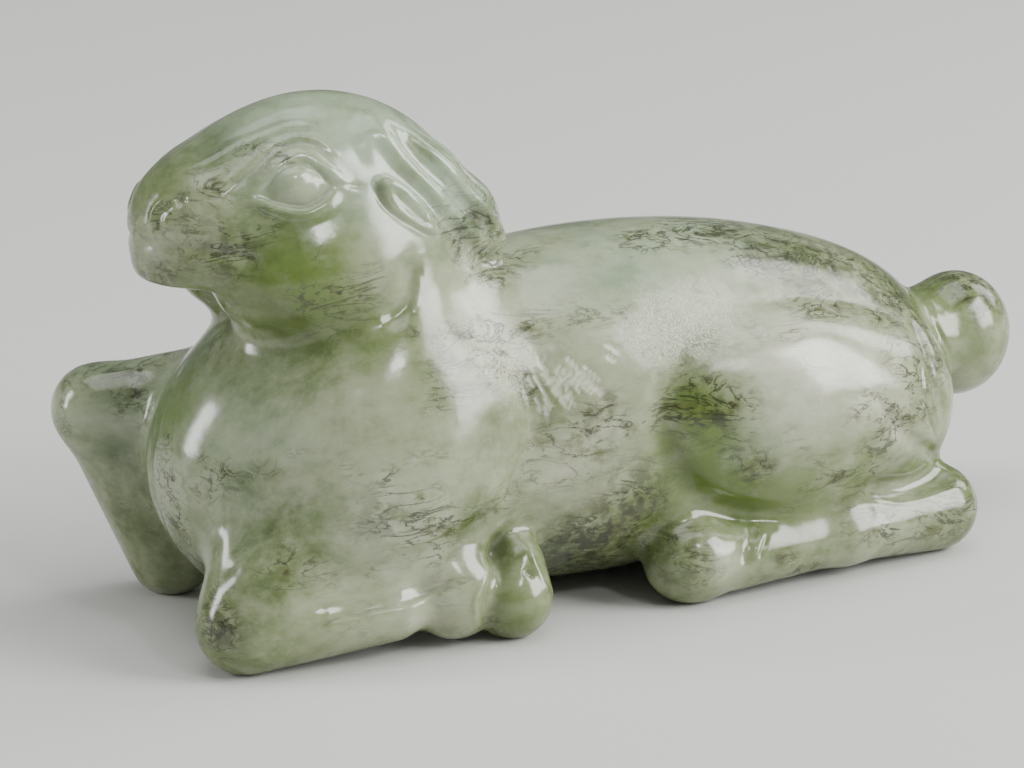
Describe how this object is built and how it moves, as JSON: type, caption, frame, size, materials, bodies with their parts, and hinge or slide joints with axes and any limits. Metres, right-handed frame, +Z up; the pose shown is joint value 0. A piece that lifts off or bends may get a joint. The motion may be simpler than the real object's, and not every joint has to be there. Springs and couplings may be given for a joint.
{
  "type": "jade ram pendant",
  "caption": "Small lying ram carved from a single pale green jade pebble, head raised, horns swept back along the neck, legs folded under it, round knob of a tail.",
  "frame": {"origin": "on the table, under the middle of the bounding box", "axes": "+X towards the tail along the body, +Z up, -Y towards the side on which both legs lie folded flat; the head looks towards -X"},
  "size_m": [0.0592, 0.0218, 0.0304],
  "materials": {
    "jade": "polished, with a few matt patches"
  },
  "bodies": {
    "root": {"jade_ram": "jade"}
  },
  "joints": []
}
